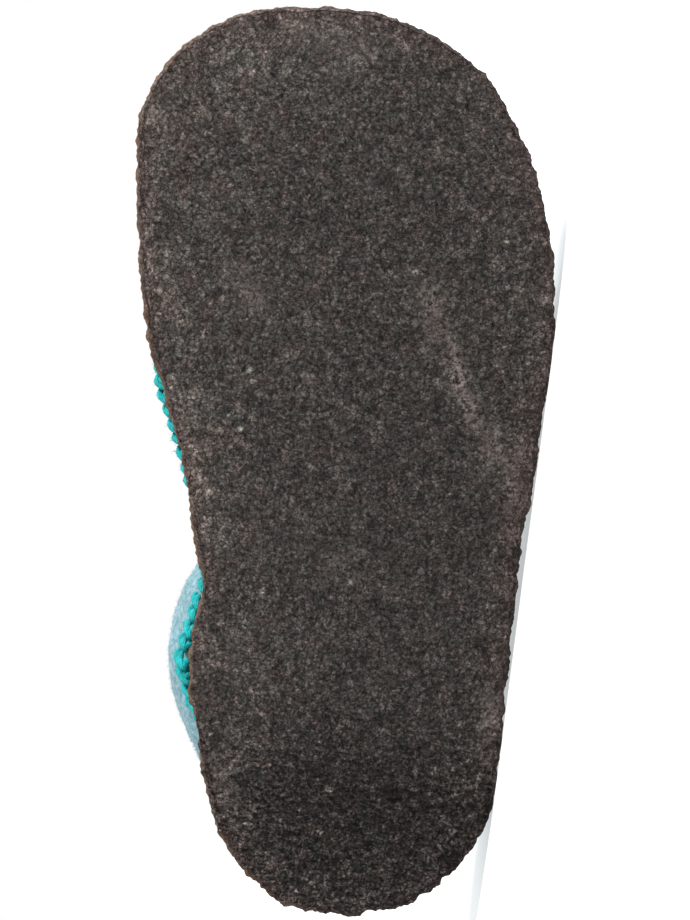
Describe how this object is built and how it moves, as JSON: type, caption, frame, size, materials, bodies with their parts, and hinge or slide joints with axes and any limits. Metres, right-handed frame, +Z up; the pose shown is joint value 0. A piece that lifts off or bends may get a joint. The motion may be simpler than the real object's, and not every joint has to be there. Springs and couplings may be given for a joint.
{
  "type": "child's felt slipper",
  "caption": "Low closed felt house slipper for a child's left foot, lying on its outer side, with a flat granular rubber sole joined by an overcast yarn seam.",
  "frame": {"origin": "on the floor, under the middle of the slipper's box as it lies on its outer side", "axes": "+X from heel to toe along the floor, +Z up from the floor towards the inner side of the foot, -Y the way the tread faces"},
  "size_m": [0.1586, 0.0546, 0.0773],
  "materials": {
    "granular_rubber": "matt dark grey-brown granular rubber with a rough tread, slightly browner at its edge",
    "blue_felt": "light grey-blue boiled wool felt with a short fuzzy nap",
    "grey_felt": "mid-grey pressed wool felt",
    "turquoise_yarn": "thick turquoise wool yarn, plied and slightly fuzzy"
  },
  "bodies": {
    "root": {"outsole": "granular_rubber", "upper": "blue_felt", "insole": "grey_felt", "seam_stitches": "turquoise_yarn"}
  },
  "joints": []
}
